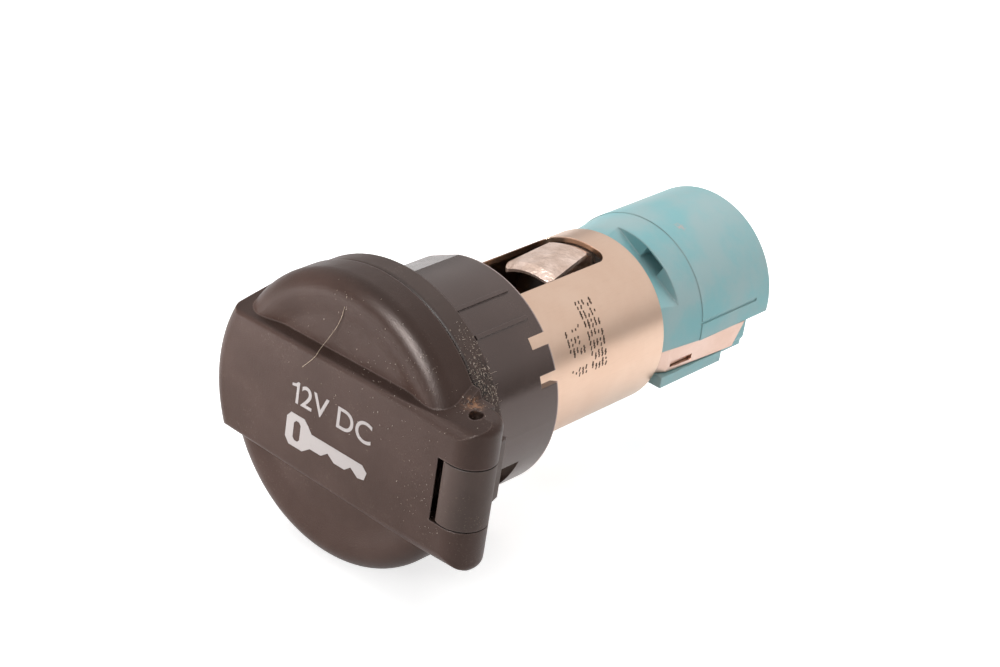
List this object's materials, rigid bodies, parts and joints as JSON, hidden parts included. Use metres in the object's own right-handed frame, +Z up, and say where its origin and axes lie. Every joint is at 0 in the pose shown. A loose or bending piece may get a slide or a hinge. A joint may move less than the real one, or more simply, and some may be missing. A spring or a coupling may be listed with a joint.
{
  "type": "car 12v power socket",
  "caption": "Panel-mounted power socket with a hinged round cap, a collar for the panel hole, a metal tube and a rear connector.",
  "frame": {"origin": "centre of the flange face that seats on the panel, on the socket axis", "axes": "+Y along the socket axis towards the connector, +X towards the hinge, +Z up"},
  "size_m": [0.0407, 0.0702, 0.0364],
  "materials": {
    "cap_plastic": "fine grained, satin",
    "frame_plastic": "fine grained, dusty",
    "collar_plastic": "smooth satin",
    "spring_steel": "bright spring steel",
    "plated_tube": "dull warm nickel plating",
    "finger_metal": "tarnished spring metal",
    "fibre_board": "pressed brown fibre",
    "contact_brass": "tinned brass",
    "plated_strip": "plated sheet",
    "housing_plastic": "smooth, dusty"
  },
  "bodies": {
    "socket": {"cap_frame": "frame_plastic", "mounting_collar": "collar_plastic", "hinge_pin": "spring_steel", "panel_clip_right": "spring_steel", "panel_clip_left": "spring_steel", "socket_shell": "plated_tube", "grip_clip": "finger_metal", "insulating_disc": "fibre_board", "contact_rivet": "contact_brass", "rivet_washer": "spring_steel", "positive_terminal": "contact_brass", "ground_terminal": "plated_strip", "ground_strip": "plated_strip", "connector_housing": "housing_plastic"},
    "cap": {"lid": "cap_plastic"}
  },
  "joints": [
    {"name": "lid_hinge", "type": "hinge", "parent": "socket", "child": "cap", "pos_m": [0.0184, -0.0066, 0], "axis": [0, 0, 1], "range_deg": [0, 110]}
  ]
}
